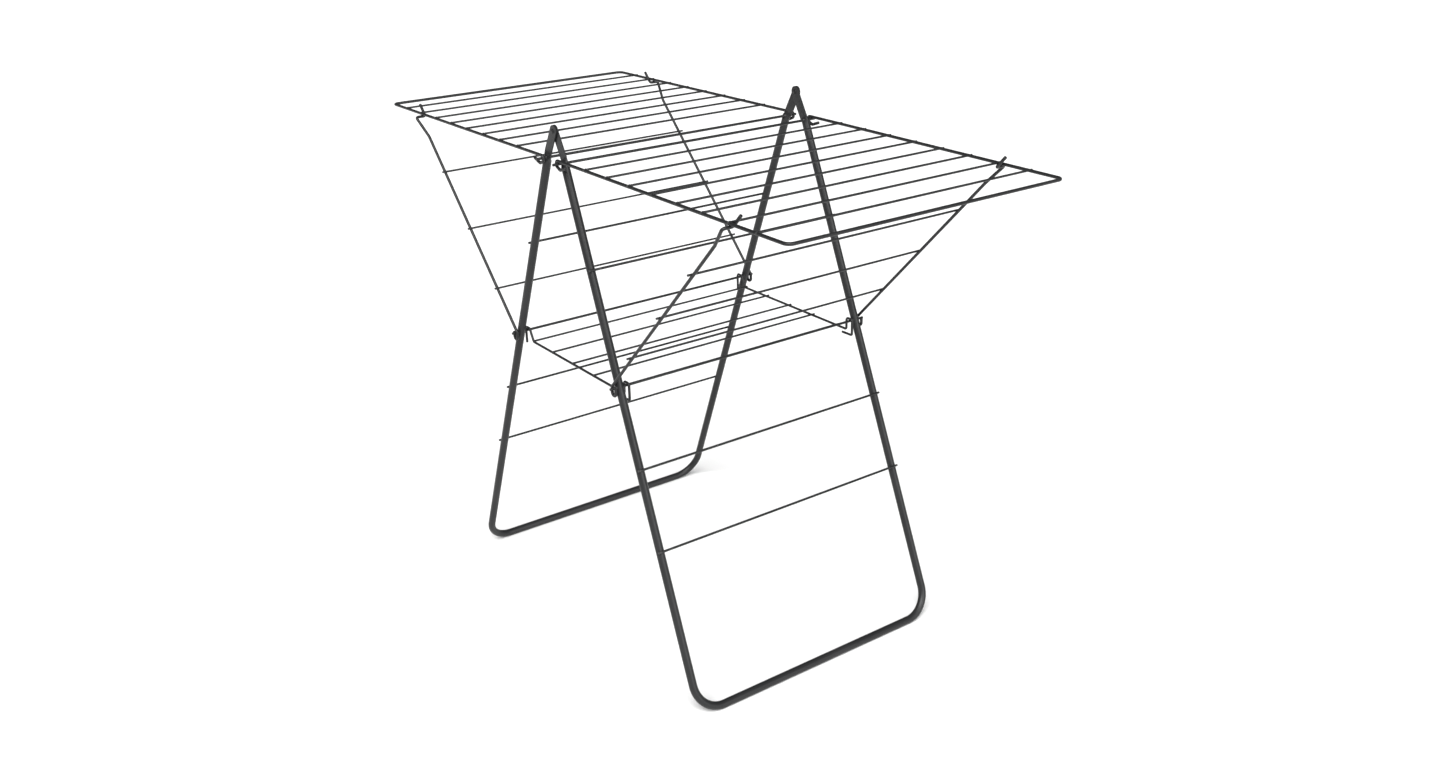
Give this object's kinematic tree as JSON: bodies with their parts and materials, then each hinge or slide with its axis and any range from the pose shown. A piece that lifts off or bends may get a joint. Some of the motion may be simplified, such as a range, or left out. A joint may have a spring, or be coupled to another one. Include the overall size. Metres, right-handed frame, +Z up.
{
  "type": "folding clothes drying rack",
  "caption": "Freestanding folding airer: two hinged tube leg frames, two fold-down slatted wings held by braces, and a lift-off wire shelf between the legs.",
  "frame": {"origin": "on the floor, midway between the two foot bars and midway along them", "axes": "+X along the drying rungs, +Y from the near wing to the far wing, +Z up"},
  "size_m": [0.6158, 1.388, 1.0374],
  "materials": {
    "leg_tube": "satin charcoal powder coat",
    "bar": "satin charcoal powder coat",
    "wing_wire": "satin charcoal powder coat",
    "brace_wire": "satin charcoal powder coat",
    "shelf_wire": "satin charcoal powder coat",
    "rivet": "blackened steel"
  },
  "bodies": {
    "near_frame": {"near_leg_frame": "leg_tube", "near_upper_hinge_bar": "bar", "near_lower_hinge_bar": "bar", "near_leg_rung_1": "bar", "near_leg_rung_2": "bar", "near_leg_rung_3": "bar", "apex_rivet_left": "rivet", "apex_rivet_right": "rivet"},
    "far_frame": {"far_leg_frame": "leg_tube", "far_upper_hinge_bar": "bar", "far_lower_hinge_bar": "bar", "far_leg_rung_1": "bar", "far_leg_rung_2": "bar", "far_leg_rung_3": "bar"},
    "near_wing": {"near_wing_frame": "wing_wire", "near_wing_rung_1": "wing_wire", "near_wing_rung_2": "wing_wire", "near_wing_rung_3": "wing_wire", "near_wing_rung_4": "wing_wire", "near_wing_rung_5": "wing_wire", "near_wing_rung_6": "wing_wire", "near_wing_rung_7": "wing_wire", "near_wing_rung_8": "wing_wire"},
    "far_wing": {"far_wing_frame": "wing_wire", "far_wing_rung_1": "wing_wire", "far_wing_rung_2": "wing_wire", "far_wing_rung_3": "wing_wire", "far_wing_rung_4": "wing_wire", "far_wing_rung_5": "wing_wire", "far_wing_rung_6": "wing_wire", "far_wing_rung_7": "wing_wire", "far_wing_rung_8": "wing_wire"},
    "near_brace": {"near_brace_left": "brace_wire", "near_brace_right": "brace_wire", "near_brace_rung_1": "brace_wire", "near_brace_rung_2": "brace_wire", "near_brace_rung_3": "brace_wire"},
    "far_brace": {"far_brace_left": "brace_wire", "far_brace_right": "brace_wire", "far_brace_rung_1": "brace_wire", "far_brace_rung_2": "brace_wire", "far_brace_rung_3": "brace_wire"},
    "shelf": {"shelf_rail_left": "shelf_wire", "shelf_rail_right": "shelf_wire", "shelf_rung_1": "shelf_wire", "shelf_rung_2": "shelf_wire", "shelf_rung_3": "shelf_wire", "shelf_rung_4": "shelf_wire", "shelf_rung_5": "shelf_wire"}
  },
  "joints": [
    {"name": "apex_fold", "type": "hinge", "parent": "near_frame", "child": "far_frame", "pos_m": [0, 0, 1.0265], "axis": [1, 0, 0], "range_deg": [-38, 0]},
    {"name": "shelf_lift", "type": "hinge", "parent": "near_frame", "child": "shelf", "pos_m": [0, -0.18699, 0.58742], "axis": [1, 0, 0], "range_deg": [0, 55.48]},
    {"name": "near_wing_fold", "type": "hinge", "parent": "near_frame", "child": "near_wing", "pos_m": [0, -0.0303, 0.973], "axis": [1, 0, 0], "range_deg": [0, 47]},
    {"name": "near_brace_swing", "type": "hinge", "parent": "near_frame", "child": "near_brace", "pos_m": [0, -0.18699, 0.58742], "axis": [1, 0, 0], "range_deg": [0, 103.87]},
    {"name": "far_wing_fold", "type": "hinge", "parent": "far_frame", "child": "far_wing", "pos_m": [0, 0.0303, 0.973], "axis": [1, 0, 0], "range_deg": [-47, 0]},
    {"name": "far_brace_swing", "type": "hinge", "parent": "far_frame", "child": "far_brace", "pos_m": [0, 0.18699, 0.58742], "axis": [1, 0, 0], "range_deg": [-103.87, 0]}
  ],
  "couplings": [
    {"joint": "shelf_lift", "follows": "apex_fold", "ratio": -1.46},
    {"joint": "near_brace_swing", "follows": "near_wing_fold", "ratio": 2.21},
    {"joint": "far_brace_swing", "follows": "far_wing_fold", "ratio": 2.21}
  ]
}
